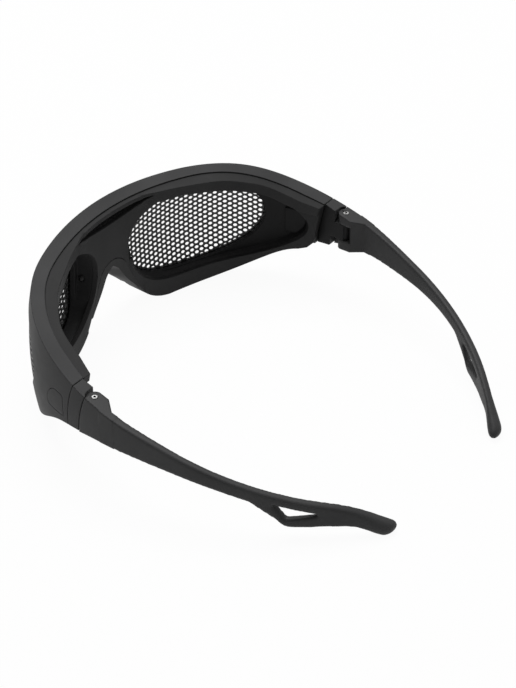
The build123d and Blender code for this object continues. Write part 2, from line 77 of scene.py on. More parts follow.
# Ledge of the face side, narrower than its solid: how much, by the distance from the middle
LEDGE_EDGE = 2.2 * MM  # what lies further than this behind the seam moves
LEDGE_TRIM = ((0.0, 0.0), (14 * MM, 0.2 * MM), (26 * MM, 1.7 * MM), (40 * MM, 1.5 * MM), (54 * MM, 0.0))

# Nose arch, flared to the rear: how much, by the height
ARCH_REACH = 0.9 * MM  # points nearer than this to the arch's line are on it
ARCH_FAN_SHARE = 0.4  # height that the flare fans out from, as a share of the arch's
SEAM_STRIP = 1.0 * MM  # beside the seam, where the arch stays as it is
FLARE = ((0.0, 0.0), (6 * MM, 0.6 * MM), (14 * MM, 1.4 * MM), (21 * MM, 2.6 * MM), (28 * MM, 2.4 * MM))
FLARE_DEPTH = 7.0 * MM

# Longer ends of the face side: how far back and up they move at two heights
END_HEIGHTS = (24 * MM, 39 * MM)
END_BACK = (1.2 * MM, 4.4 * MM)
END_UP = (2.2 * MM, -1.2 * MM)
END_LEAN = 0.268  # outwards, for each length back
END_FACE = 0.1 * MM  # depth of what counts as an end

# Thin skins behind the brow's face, over the ends of the vent
SKIN_DEPTH = 0.03 * MM
SKIN_THICK = 0.25 * MM
SKIN_LENGTHS = [step * MM for step in range(17, 27)]  # along the wrap, from the middle
SKIN_HEIGHTS = [(9.8 + step * 0.6) * MM for step in range(8)]  # over the pins

CREASE = radians(25.0)  # edges that turn by more are shaded sharp

# Lens openings, drawn square to the middle of each lens
LENS_YAW = radians(37.0)
LENS_MIDDLE = Vector((45.8 * MM, PIN_Y - 55.2 * MM, PIN_TOP_Z - 10.25 * MM))
LENS_HALF_W = 28.05 * MM
LENS_HALF_H = 18.25 * MM
LENS_SHARES = (
    (-1.0, 0.05), (-0.90, 0.62), (-0.55, 0.93), (0.15, 1.0), (0.76, 0.74),
    (1.0, 0.12), (0.82, -0.46), (0.31, -0.89), (-0.28, -1.0), (-0.86, -0.76),
)
LIP = 1.1 * MM
SHEET_THICK = 0.6 * MM
SHEET_GRIP = 1.4 * MM
OUTLINE_STEPS = 12  # between two points of the outline
HALVINGS = 40  # of the search for a point's place on the unrolled sheet

# Punching of the lens sheets
HOLE_PITCH = 2.22 * MM
HOLE_R = 0.82 * MM
STRETCH = 1.05  # of the pattern, round the face
HOLE_SIDES = 12
ROW_DROP = tan(radians(4.0))
PHASE_ALONG = 0.42 * MM
PHASE_UP = 0.94 * MM
COLUMNS = 46
ROWS = 26
MERGE = 0.02 * MM
SLIVER = 0.01 * MM * MM

# Finishes
GRAIN = 0.02 * MM  # of the moulded plastic
SPECK_REACH = 0.025  # of a pale speck, in cells of its pattern
SPECK_LEVEL = 0.62  # specks are kept where a second pattern is over this
DIMPLE_SHADE_R = 0.5 * MM  # radius of the painted shade for the hollow in the end of a hinge pin
WEARER = (0.0, PIN_Y, 0.0)  # middle of the wearer's head, in plan

# Temples: sharp as drawn round the hinge, rounded off behind it, with a thicker tip
SHARP_END = PIN_Y + 11.0 * MM
ROUND_START = PIN_Y + 34.0 * MM
VOXEL = 0.34 * MM
ROUNDING_PASSES = 20
TIP_PASSES = 70
TIP_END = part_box("temple_left")[1][1]
TIP_START = TIP_END - 10.0 * MM
TIP_GROWTH = 1.5 * MM
TIP_DROP = 1.6 * MM
EVENING = 0.6  # share of the way to its neighbours' middle that a point moves in a pass
LAP = 0.05 * MM  # of the hinge end over the arm


def linked(name, data):
    """A new object of the scene."""
    made = bpy.data.objects.new(name, data)
    bpy.context.scene.collection.objects.link(made)
    return made


def plan_place(length, start_y, radii, turns):
    """Point and heading on a plan line of the left half, a length from the middle of the front."""
    point = np.array([0.0, start_y])
    heading = 0.0
    for number, (radius, turn) in enumerate(zip(radii, turns)):
        last = number == len(radii) - 1
        angle = length / radius if last else min(length / radius, radians(turn))
        middle = point + radius * np.array([-sin(heading), cos(heading)])
        heading += angle
        point = middle + radius * np.array([sin(heading), -cos(heading)])
        length -= angle * radius
        if length <= 0:
            break
    return point, heading


def wrap_place(length):
    """The same on the wrap of the outer face."""
    return plan_place(length, FRONT_Y, WRAP_RADII, WRAP_TURNS)


def closed_spline(points, steps):
    """A closed smooth curve through points, with parameters set by the chords between them."""
    knots = np.array(points)
    count = len(knots)
    chords = np.linalg.norm(np.roll(knots, -1, axis=0) - knots, axis=1)
    system = np.zeros((count, count))
    right = np.zeros((count, 2))
    for i in range(count):
        before, after = chords[i - 1], chords[i]
        system[i, i - 1] += after
        system[i, i] += 2 * (before + after)
        system[i, (i + 1) % count] += before
        slope_in = (knots[i] - knots[i - 1]) / before
        slope_out = (knots[(i + 1) % count] - knots[i]) / after
        right[i] = 3 * (after * slope_in + before * slope_out)
    slopes = np.linalg.solve(system, right)
    curve = []
    for i in range(count):
        following = (i + 1) % count
        for t in np.linspace(0, 1, steps, endpoint=False):
            start = (2 * t**3 - 3 * t**2 + 1) * knots[i] + (t**3 - 2 * t**2 + t) * chords[i] * slopes[i]
            end = (3 * t**2 - 2 * t**3) * knots[following] + (t**3 - t**2) * chords[i] * slopes[following]
            curve.append(start + end)
    return curve


def sheet_point(length, height, depth):
    """Point of the crowned wrap, a depth below its outer face."""
    point, heading = wrap_place(length)
    inwards = CROWN_R - sqrt((CROWN_R - depth) ** 2 - (height - CROWN_Z) ** 2)
    return Vector((point[0] - sin(heading) * inwards, point[1] + cos(heading) * inwards, height))


def opening_unrolled():
    """Outline of the left opening, with the sheet's grip, on the unrolled sheet."""
    across = Vector((cos(LENS_YAW), sin(LENS_YAW), 0))
    half_w, half_h = LENS_HALF_W + SHEET_GRIP, LENS_HALF_H + SHEET_GRIP
    outline = closed_spline([(u * half_w, v * half_h) for u, v in LENS_SHARES], OUTLINE_STEPS)
    unrolled = []
    for along, up in outline:
        height = LENS_MIDDLE.z + up
        near, far = 0.0, 2 * WRAP_RADII[0]
        for _ in range(HALVINGS):
            guess = (near + far) / 2
            reach = (sheet_point(guess, height, LIP) - LENS_MIDDLE).dot(across)
            near, far = (guess, far) if reach < along else (near, guess)
        unrolled.append((near, height, 0))
    return unrolled


def mesh_object(name, points, faces):
    """A new object from points and faces."""
    mesh = bpy.data.meshes.new(name)
    mesh.from_pydata([tuple(p) for p in points], (), faces)
    return linked(name, mesh)


def wrap_curve():
    """The wrap's plan line as a curve that the sheet is bent along."""
    total = sum(radius * radians(turn) for radius, turn in zip(WRAP_RADII, WRAP_TURNS))
    line = bpy.data.curves.new("wrap_line", "CURVE")
    line.dimensions = "3D"
    spline = line.splines.new("POLY")
    spline.points.add(WRAP_STEPS)
    for number, point in enumerate(spline.points):
        place, _ = wrap_place(total * number / WRAP_STEPS)
        point.co = (place[0], place[1], 0, 1)
    return linked("wrap_line", line)


class Tree:
    """A node tree under construction, with short calls for its commonest nodes."""

    def __init__(self, tree):
        self.tree = tree

    def node(self, kind, inputs=None, **settings):
        """A new node with its settings, and its inputs linked or given values."""
        made = self.tree.nodes.new(kind)
        for key, value in settings.items():
            setattr(made, key, value)
        for key, value in (inputs or {}).items():
            self.feed(made.inputs[key], value)
        return made

    def feed(self, socket, value):
        """Links an output to a socket, or gives the socket a value."""
        if isinstance(value, bpy.types.NodeSocket):
            self.tree.links.new(value, socket)
        else:
            socket.default_value = value

    def maths(self, operation, first, second=0.0):
        """Result of an operation on numbers."""
        made = self.node("ShaderNodeMath", {0: first, 1: second}, operation=operation)
        return made.outputs[0]

    def vector(self, operation, first, second=(0, 0, 0)):
        """Result of an operation on vectors."""
        made = self.node("ShaderNodeVectorMath", {0: first, 1: second}, operation=operation)
        return made.outputs[0]

    def scaled(self, vector, factor):
        """A vector times a number."""
        made = self.node("ShaderNodeVectorMath", {0: vector, "Scale": factor}, operation="SCALE")
        return made.outputs[0]

    def parts(self, vector):
        """The three parts of a vector."""
        return self.node("ShaderNodeSeparateXYZ", {0: vector}).outputs

    def joined(self, x, y, z):
        """A vector of three parts."""
        return self.node("ShaderNodeCombineXYZ", {0: x, 1: y, 2: z}).outputs[0]


def punched_sheet_tree():
    """Punches hexagonal tiles with round holes, cuts them to an outline and bends them on the wrap."""
    group = bpy.data.node_groups.new("punched sheet", "GeometryNodeTree")
    sockets = (
        ("Outline", "NodeSocketGeometry"),
        ("Wrap line", "NodeSocketObject"),
        ("Hole pitch", "NodeSocketFloat"),
        ("Hole radius", "NodeSocketFloat"),
        ("Row drop", "NodeSocketFloat"),
        ("Thickness", "NodeSocketFloat"),
        ("Depth", "NodeSocketFloat"),
        ("Crown radius", "NodeSocketFloat"),
        ("Crown height", "NodeSocketFloat"),
        ("Middle", "NodeSocketVector"),
        ("Finish", "NodeSocketMaterial"),
    )
    for name, kind in sockets:
        group.interface.new_socket(name=name, in_out="INPUT", socket_type=kind)
    group.interface.new_socket(name="Sheet", in_out="OUTPUT", socket_type="NodeSocketGeometry")
    t = Tree(group)
    given = t.node("NodeGroupInput").outputs
    place = t.node("GeometryNodeInputPosition").outputs[0]

    def slanted(geometry):
        x, y, z = t.parts(place)
        wide = t.maths("MULTIPLY", x, STRETCH)
        lowered = t.maths("SUBTRACT", y, t.maths("MULTIPLY", wide, given["Row drop"]))
        moved = t.node(
            "GeometryNodeSetPosition", {"Geometry": geometry, "Position": t.joined(wide, lowered, z)}
        )
        return moved.outputs[0]

    # One tile: a hole's ring of points, drawn out to the corners and sides of a hexagon
    ring = t.node("GeometryNodeMeshCircle", {"Vertices": HOLE_SIDES, "Radius": given["Hole radius"]})
    drawn = t.node(
        "GeometryNodeExtrudeMesh", {"Mesh": ring.outputs[0], "Offset Scale": 0.0}, mode="EDGES"
    )
    number = t.node("GeometryNodeInputIndex").outputs[0]
    odd = t.maths("MODULO", number, 2.0)
    side = t.maths("MULTIPLY", given["Hole pitch"], 0.5)
    corner = t.maths("DIVIDE", given["Hole pitch"], sqrt(3))
    reach = t.node("ShaderNodeMix", {"Factor": odd, "A": corner, "B": side}).outputs[0]
    grown = t.scaled(t.vector("NORMALIZE", place), reach)
    tile = t.node(
        "GeometryNodeSetPosition",
        {"Geometry": drawn.outputs["Mesh"], "Selection": drawn.outputs["Top"], "Position": grown},
    )

    # Places of the tiles: a grid with every other column half a pitch up
    column_step = t.maths("MULTIPLY", given["Hole pitch"], sin(radians(60)))
    grid = t.node(
        "GeometryNodeMeshGrid",
        {
            "Size X": t.maths("MULTIPLY", column_step, COLUMNS - 1.0),
            "Size Y": t.maths("MULTIPLY", given["Hole pitch"], ROWS - 1.0),
            "Vertices X": COLUMNS,
            "Vertices Y": ROWS,
        },
    )
    x, y, z = t.parts(place)
    column = t.maths("ROUND", t.maths("ADD", t.maths("DIVIDE", x, column_step), COLUMNS / 2 - 0.5))
    stagger = t.maths("MULTIPLY", t.maths("MODULO", column, 2.0), side)
    staggered = t.node(
        "GeometryNodeSetPosition",
        {"Geometry": grid.outputs["Mesh"], "Position": t.joined(x, t.maths("ADD", y, stagger), z)},
    )
    placed = t.node(
        "GeometryNodeSetPosition", {"Geometry": slanted(staggered.outputs[0]), "Offset": given["Middle"]}
    )

    # Only the tiles that reach into the outline stay
    def inside(geometry_rays):
        hit = t.node(
            "GeometryNodeRaycast",
            {
                "Target Geometry": given["Outline"],
                "Source Position": t.vector("ADD", geometry_rays, (0, 0, 1)),
                "Ray Direction": (0, 0, -1),
                "Ray Length": 2.0,
            },
        )
        return hit.outputs["Is Hit"]

    border = t.node("GeometryNodeMeshToCurve", {"Mesh": given["Outline"]}).outputs[0]
    rim = t.node("GeometryNodeCurveToMesh", {"Curve": border}).outputs[0]
    nearest = t.node("GeometryNodeProximity", {"Geometry": rim}, target_element="EDGES")
    close = t.node(
        "FunctionNodeCompare", {"A": nearest.outputs["Distance"], "B": corner},
        data_type="FLOAT", operation="LESS_THAN",
    )
    wanted = t.node(
        "FunctionNodeBooleanMath", {0: inside(place), 1: close.outputs[0]}, operation="OR"
    )
    unwanted = t.node("FunctionNodeBooleanMath", {0: wanted.outputs[0]}, operation="NOT")
    kept = t.node(
        "GeometryNodeDeleteGeometry",
        {"Geometry": placed.outputs[0], "Selection": unwanted.outputs[0]},
        domain="POINT",
    )
    tiles = t.node(
        "GeometryNodeInstanceOnPoints", {"Points": kept.outputs[0], "Instance": slanted(tile.outputs[0])}
    )
    sheet = t.node("GeometryNodeRealizeInstances", {"Geometry": tiles.outputs[0]})
    sheet = t.node("GeometryNodeMergeByDistance", {"Geometry": sheet.outputs[0], "Distance": MERGE})

    # Points past the outline are drawn back to it
    outside = t.node("FunctionNodeBooleanMath", {0: inside(place)}, operation="NOT")
    trimmed = t.node(
        "GeometryNodeSetPosition",
        {
            "Geometry": sheet.outputs[0],
            "Selection": outside.outputs[0],
            "Position": nearest.outputs["Position"],
        },
    )
    trimmed = t.node("GeometryNodeMergeByDistance", {"Geometry": trimmed.outputs[0], "Distance": MERGE})
    area = t.node("GeometryNodeInputMeshFaceArea").outputs[0]
    trimmed = t.node(
        "GeometryNodeDeleteGeometry",
        {"Geometry": trimmed.outputs[0], "Selection": t.maths("LESS_THAN", area, SLIVER)},
        domain="FACE",
    )

    # Thickness
    thick = t.node(
        "GeometryNodeExtrudeMesh",
        {
            "Mesh": trimmed.outputs[0],
            "Offset": (0, 0, -1),
            "Offset Scale": given["Thickness"],
            "Individual": False,
        },
        mode="FACES",
    )
    turned = t.node("GeometryNodeFlipFaces", {"Mesh": thick.outputs["Mesh"]})
    solid = t.node("GeometryNodeJoinGeometry")
    group.links.new(turned.outputs[0], solid.inputs[0])
    group.links.new(trimmed.outputs[0], solid.inputs[0])
    solid = t.node("GeometryNodeMergeByDistance", {"Geometry": solid.outputs[0], "Distance": MERGE})

    # Bend along the wrap and over its crown
    wrap = t.node("GeometryNodeObjectInfo", {"Object": given["Wrap line"]}, transform_space="ORIGINAL")
    bent_on = t.node(
        "GeometryNodeSampleCurve",
        {"Curves": wrap.outputs["Geometry"], "Length": x},
        mode="LENGTH",
        use_all_curves=True,
    )
    outwards = t.vector("CROSS_PRODUCT", bent_on.outputs["Tangent"], (0, 0, 1))
    ring_radius = t.maths("ADD", t.maths("SUBTRACT", given["Crown radius"], given["Depth"]), z)
    rise = t.maths("SUBTRACT", y, given["Crown height"])
    inner = t.maths("SUBTRACT", t.maths("POWER", ring_radius, 2.0), t.maths("POWER", rise, 2.0))
    offset = t.maths("SUBTRACT", t.maths("SQRT", inner), given["Crown radius"])
    bent = t.vector("ADD", bent_on.outputs["Position"], t.scaled(outwards, offset))
    bent = t.vector("ADD", bent, t.joined(0.0, 0.0, y))
    finished = t.node("GeometryNodeSetPosition", {"Geometry": solid.outputs[0], "Position": bent})
    finished = t.node("GeometryNodeRealizeInstances", {"Geometry": finished.outputs[0]})
    coated = t.node(
        "GeometryNodeSetMaterial", {"Geometry": finished.outputs[0], "Material": given["Finish"]}
    )
    result = t.node("NodeGroupOutput")
    group.links.new(coated.outputs[0], result.inputs[0])
    return group


def punched_lens(name, finish):
    """The left lens sheet, as a plain mesh."""
    outline = opening_unrolled()
    carrier = mesh_object(name, outline, [tuple(range(len(outline)))])
    wrap = wrap_curve()
    group = punched_sheet_tree()
    middle = sum(point[0] for point in outline) / len(outline)
    values = {
        "Wrap line": wrap,
        "Hole pitch": HOLE_PITCH,
        "Hole radius": HOLE_R,
        "Row drop": ROW_DROP,
        "Thickness": SHEET_THICK,
        "Depth": LIP,
        "Crown radius": CROWN_R,
        "Crown height": CROWN_Z,
        "Middle": (middle + PHASE_ALONG, LENS_MIDDLE.z + PHASE_UP, 0),
        "Finish": finish,
    }
    punch = carrier.modifiers.new("punch", "NODES")
    punch.node_group = group
    for socket in group.interface.items_tree:
        if socket.in_out == "INPUT" and socket.name in values:
            punch[socket.identifier] = values[socket.name]
    seen = carrier.evaluated_get(bpy.context.evaluated_depsgraph_get())
    plain = bpy.data.meshes.new_from_object(seen)
    carrier.modifiers.clear()
    carrier.data = plain
    bpy.data.objects.remove(wrap)
    return carrier


def mirrored(piece, name):
    """A copy of a piece on the other side of the goggles."""
    mesh = piece.data.copy()
    mesh.transform(Matrix.Diagonal((-1, 1, 1, 1)))
    mesh.flip_normals()
    return linked(name, mesh)


def cut_across(mesh, place, keep_front):
    """Cuts a mesh square to Y, keeps the part ahead of the cut or behind it, and closes it."""
    shape = bmesh.new()
    shape.from_mesh(mesh)
    bmesh.ops.remove_doubles(shape, verts=shape.verts, dist=JOIN)
    everything = shape.verts[:] + shape.edges[:] + shape.faces[:]
    cut = bmesh.ops.bisect_plane(
        shape, geom=everything, plane_co=(0, place, 0), plane_no=(0, 1, 0),
        clear_outer=keep_front, clear_inner=not keep_front,
    )
    rim = [item for item in cut["geom_cut"] if isinstance(item, bmesh.types.BMEdge)]
    bmesh.ops.holes_fill(shape, edges=rim)
    shape.to_mesh(mesh)
    shape.free()


def creased(mesh):
    """Joins a mesh's loose triangles and shades it smooth up to its sharp edges."""
    shape = bmesh.new()
    shape.from_mesh(mesh)
    bmesh.ops.remove_doubles(shape, verts=shape.verts, dist=JOIN)
    for face in shape.faces:
        face.smooth = True
    for edge in shape.edges:
        edge.smooth = len(edge.link_faces) == 2 and edge.calc_face_angle() < CREASE
    shape.to_mesh(mesh)
    shape.free()
    for attribute in list(mesh.attributes):
        if attribute.name == "custom_normal":
            mesh.attributes.remove(attribute)


def rounded_off(mesh):
    """Evens out a fine mesh behind the hinge, which rounds its edges, and thickens its tip."""
    shape = bmesh.new()
    shape.from_mesh(mesh)
    shape.verts.ensure_lookup_table()
    places = np.array([v.co for v in shape.verts])
    pairs = np.array([[v.index for v in edge.verts] for edge in shape.edges])
    count = np.bincount(pairs.ravel(), minlength=len(places))[:, None]
    weight = np.clip((places[:, 1] - SHARP_END) / (ROUND_START - SHARP_END), 0, 1)[:, None]
    tipped = np.clip((places[:, 1] - TIP_START) / (TIP_END - TIP_START), 0, 1)
    tipped = tipped * tipped * (3 - 2 * tipped)
    for number in range(ROUNDING_PASSES + TIP_PASSES):
        if number == ROUNDING_PASSES:
            weight = tipped[:, None]
        total = np.zeros_like(places)
        np.add.at(total, pairs[:, 0], places[pairs[:, 1]])
        np.add.at(total, pairs[:, 1], places[pairs[:, 0]])
        places += (total / count - places) * EVENING * weight
    for vertex, place in zip(shape.verts, places):
        vertex.co = place
    shape.normal_update()
    for vertex, share in zip(shape.verts, tipped):
        vertex.co = vertex.co + vertex.normal * share * TIP_GROWTH - Vector((0, 0, share * TIP_DROP))
    for face in shape.faces:
        face.smooth = True
    shape.to_mesh(mesh)
    shape.free()


def rounded_temple(node, name):
    """A copy of a temple: the hinge end as drawn, the arm with rounded edges."""
    hinge_end = linked(name, frame["nodes"][node].data.copy())
    arm = linked("arm", frame["nodes"][node].data.copy())
    cut_across(hinge_end.data, SHARP_END + LAP, True)
    creased(hinge_end.data)
    even = arm.modifiers.new("even", "REMESH")
    even.mode = "VOXEL"
    even.voxel_size = VOXEL
    seen = arm.evaluated_get(bpy.context.evaluated_depsgraph_get())
    fine = bpy.data.meshes.new_from_object(seen)
    rounded_off(fine)
    cut_across(fine, SHARP_END, False)
    bpy.data.objects.remove(arm)
    whole = bmesh.new()
    whole.from_mesh(hinge_end.data)
    whole.from_mesh(fine)
    whole.to_mesh(hinge_end.data)
    whole.free()
    return hinge_end


def merged_copy(node, name):
    """A copy of a node with its loose triangles joined, smooth up to its sharp edges."""
    made = linked(name, frame["nodes"][node].data.copy())
    creased(made.data)
    return made


def closed_front_frame(name):
    """The outer moulding, with a thin skin behind its face over each end of the vent."""
    made = merged_copy("front_frame", name)
    shape = bmesh.new()
    for side in (1, -1):
        rows = []
        for length in SKIN_LENGTHS:
            places = [sheet_point(length, PIN_TOP_Z + height, SKIN_DEPTH) for height in SKIN_HEIGHTS]
            rows.append([shape.verts.new((side * place.x, place.y, place.z)) for place in places])
        for row, beside in zip(rows[:-1], rows[1:]):
            for low in range(len(row) - 1):
                shape.faces.new((row[low], beside[low], beside[low + 1], row[low + 1]))
    bmesh.ops.recalc_face_normals(shape, faces=shape.faces[:])
    bmesh.ops.solidify(shape, geom=shape.faces[:], thickness=SKIN_THICK)
    bmesh.ops.recalc_face_normals(shape, faces=shape.faces[:])
    shape.from_mesh(made.data)
    shape.to_mesh(made.data)
    shape.free()
    return made


def by_table(value, table):
    """Value of a table between its rows."""
    return float(np.interp(value, [row[0] for row in table], [row[1] for row in table]))


def arch_flare(place):
    """How far a point of the nose arch moves outwards, by its height."""
    away = Vector((place.x, 0, max(place.z - ARCH_HEIGHT * ARCH_FAN_SHARE, 0)))
    return away.normalized() * by_table(place.z, FLARE)


def near_arch(place):
    """Whether a point lies on the surface of the nose arch."""
    line = np.array([(x * ARCH_HALF_W, z * ARCH_HEIGHT) for x, z in ARCH_SHARES])
    point = np.array([abs(place.x), place.z])
    for start, end in zip(line[:-1], line[1:]):
        along = np.clip(np.dot(point - start, end - start) / np.dot(end - start, end - start), 0, 1)
        if np.linalg.norm(start + along * (end - start) - point) < ARCH_REACH:
            return True
    return False


def finer_inner_frame(name):
    """The face-side frame with a narrower ledge, a flared nose arch and longer ends."""
    made = merged_copy("inner_frame", name)
    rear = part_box("inner_frame")[1][1]
    seam_y = FRONT_Y + SEAM_SETBACK
    lengths = [step * MM for step in range(SEAM_LENGTH_MM)]
    seam = np.array([plan_place(length, seam_y, SEAM_RADII, SEAM_TURNS)[0] for length in lengths])
    for vertex in made.data.vertices:
        place = vertex.co.copy()
        side = 1 if place.x > 0 else -1
        from_seam = np.linalg.norm(seam - [abs(place.x), place.y], axis=1).min()
        if place.y > rear - END_FACE:
            back = float(np.interp(place.z, END_HEIGHTS, END_BACK))
            up = float(np.interp(place.z, END_HEIGHTS, END_UP))
            vertex.co += Vector((side * back * END_LEAN, back, up))
        elif from_seam > LEDGE_EDGE and place.z > CROWN_Z:
            outwards = Vector((place.x, place.y - PIN_Y, 0)).normalized()
            vertex.co += outwards * by_table(abs(place.x), LEDGE_TRIM)
        elif from_seam > SEAM_STRIP and near_arch(place):
            vertex.co += arch_flare(place)
    return made


def finer_saddle(name):
    """The nose piece, flared to the rear with the arch."""
    made = merged_copy("nose_saddle", name)
    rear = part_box("nose_saddle")[1][1]
    for vertex in made.data.vertices:
        share = min(max((vertex.co.y - (rear - FLARE_DEPTH)) / FLARE_DEPTH, 0), 1)
        vertex.co += arch_flare(vertex.co) * share
    return made


def new_material(name):
    """A material with its tree and its shader."""
    material = bpy.data.materials.new(name)
    material.use_nodes = True
    shader = material.node_tree.nodes["Principled BSDF"]
    return material, Tree(material.node_tree), shader


def two_tones(ramp, dark, light):
    """Gives a colour ramp its darkest and its lightest tone."""
    ramp.color_ramp.elements[0].color = (*dark, 1)
    ramp.color_ramp.elements[1].color = (*light, 1)


def moulded_plastic(name, dark, light, roughness, sheen_level, rounding, inside=1.0):
    """Matte moulded plastic: faint flow mottling, fine grain, rounded edges and a few pale specks.

    The tone of faces turned towards the wearer is multiplied by inside: painted shade where it is below 1,
    painted light where it is above 1."""
    material, t, shader = new_material(name)
    place = t.node("ShaderNodeTexCoord").outputs["Object"]
    mottle = t.node("ShaderNodeTexNoise", {"Vector": place, "Scale": 60.0, "Detail": 4.0})
    colour = t.node("ShaderNodeValToRGB", {"Fac": mottle.outputs["Fac"]})
    colour.color_ramp.elements[0].position = 0.3
    colour.color_ramp.elements[1].position = 0.7
    two_tones(colour, dark, light)
    dust = t.node("ShaderNodeTexVoronoi", {"Vector": place, "Scale": 110.0, "Randomness": 1.0})
    chosen = t.node("ShaderNodeTexNoise", {"Vector": place, "Scale": 45.0, "Detail": 1.0})
    spot = t.maths("LESS_THAN", dust.outputs["Distance"], SPECK_REACH)
    spot = t.maths("MULTIPLY", spot, t.maths("GREATER_THAN", chosen.outputs["Fac"], SPECK_LEVEL))
    dusty = t.node(
        "ShaderNodeMix",
        {"Factor": t.maths("MULTIPLY", spot, 0.5), "A": colour.outputs[0], "B": (0.35, 0.35, 0.34, 1)},
        data_type="RGBA",
    )
    # Painted shading: the tone of faces turned towards the wearer is scaled by inside, below 1 as painted
    # shade and above 1 as painted light
    outwards = t.vector("NORMALIZE", t.vector("MULTIPLY", t.vector("SUBTRACT", place, WEARER), (1, 1, 0)))
    normal = t.node("ShaderNodeTexCoord").outputs["Normal"]
    facing = t.node("ShaderNodeVectorMath", {0: outwards, 1: normal}, operation="DOT_PRODUCT")
    shade = t.node(
        "ShaderNodeMapRange",
        {
            "Value": facing.outputs["Value"],
            "From Min": -0.5, "From Max": -0.15, "To Min": inside, "To Max": 1.0,
        },
    )
    painted_shading_colour = t.scaled(dusty.outputs["Result"], shade.outputs[0])
    t.feed(shader.inputs["Base Color"], painted_shading_colour)
    wear = t.node("ShaderNodeTexNoise", {"Vector": place, "Scale": 240.0, "Detail": 3.0})
    rough = t.node(
        "ShaderNodeMapRange",
        {"Value": wear.outputs["Fac"], "To Min": roughness - 0.05, "To Max": roughness + 0.07},
    )
    t.feed(shader.inputs["Roughness"], rough.outputs[0])
    fine = t.node("ShaderNodeTexNoise", {"Vector": place, "Scale": 2600.0, "Detail": 2.0})
    bump = t.node(
        "ShaderNodeBump", {"Height": fine.outputs["Fac"], "Strength": 0.35, "Distance": GRAIN}
    )
    edges = t.node("ShaderNodeBevel", {"Radius": rounding}, samples=6)
    t.feed(bump.inputs["Normal"], edges.outputs[0])
    t.feed(shader.inputs["Normal"], bump.outputs[0])
    shader.inputs["Specular IOR Level"].default_value = sheen_level
    return material


def soft_rubber():
    """Smooth grey elastomer of the nose piece."""
    material, t, shader = new_material("soft rubber")
    place = t.node("ShaderNodeTexCoord").outputs["Object"]
    bloom = t.node("ShaderNodeTexNoise", {"Vector": place, "Scale": 120.0, "Detail": 3.0})
    colour = t.node("ShaderNodeValToRGB", {"Fac": bloom.outputs["Fac"]})
    two_tones(colour, (0.013, 0.013, 0.013), (0.021, 0.021, 0.021))
    t.feed(shader.inputs["Base Color"], colour.outputs[0])
    rough = t.node("ShaderNodeMapRange", {"Value": bloom.outputs["Fac"], "To Min": 0.5, "To Max": 0.66})
    t.feed(shader.inputs["Roughness"], rough.outputs[0])
    shader.inputs["Specular IOR Level"].default_value = 0.22
    return material


def coated_steel():
    """Punched sheet with a satin black coating, a little brighter where it wears."""
    material, t, shader = new_material("coated steel")
    place = t.node("ShaderNodeTexCoord").outputs["Object"]
    coat = t.node("ShaderNodeTexNoise", {"Vector": place, "Scale": 300.0, "Detail": 4.0})
    colour = t.node("ShaderNodeValToRGB", {"Fac": coat.outputs["Fac"]})
    two_tones(colour, (0.010, 0.010, 0.010), (0.022, 0.022, 0.022))
    t.feed(shader.inputs["Base Color"], colour.outputs[0])
    rough = t.node("ShaderNodeMapRange", {"Value": coat.outputs["Fac"], "To Min": 0.34, "To Max": 0.5})
    t.feed(shader.inputs["Roughness"], rough.outputs[0])
    return material


def bright_steel():
    """Turned end of a hinge pin, with painted shade standing in for the hollow at its centre."""
    material, t, shader = new_material("bright steel")
    place = t.node("ShaderNodeTexCoord").outputs["Object"]
    turned = t.node("ShaderNodeTexNoise", {"Vector": place, "Scale": 1500.0, "Detail": 2.0})
    colour = t.node("ShaderNodeValToRGB", {"Fac": turned.outputs["Fac"]})
    two_tones(colour, (0.55, 0.55, 0.54), (0.78, 0.78, 0.77))
    x, y, z = t.parts(place)
    aside = t.joined(t.maths("SUBTRACT", t.maths("ABSOLUTE", x), PIN_X), t.maths("SUBTRACT", y, PIN_Y), 0.0)
    from_axis = t.node("ShaderNodeVectorMath", {0: aside}, operation="LENGTH").outputs["Value"]
    # Painted shade: a dark disc round each pin's axis stands in for the shade in the hollow of its end
    dimple_shade = t.maths("LESS_THAN", from_axis, DIMPLE_SHADE_R)
    shaded = t.node(
        "ShaderNodeMix",
        {"Factor": dimple_shade, "A": colour.outputs[0], "B": (0.03, 0.03, 0.03, 1)},
        data_type="RGBA",
    )
    t.feed(shader.inputs["Base Color"], shaded.outputs["Result"])
    rough = t.node("ShaderNodeMapRange", {"Value": turned.outputs["Fac"], "To Min": 0.22, "To Max": 0.4})
    t.feed(shader.inputs["Roughness"], rough.outputs[0])
    shader.inputs["Metallic"].default_value = 1.0
    return material


def dress(node, material):
    """Gives a carried-over node its finish."""
    owner = frame["nodes"][node]
    owner.data.materials.clear()
    owner.data.materials.append(material)


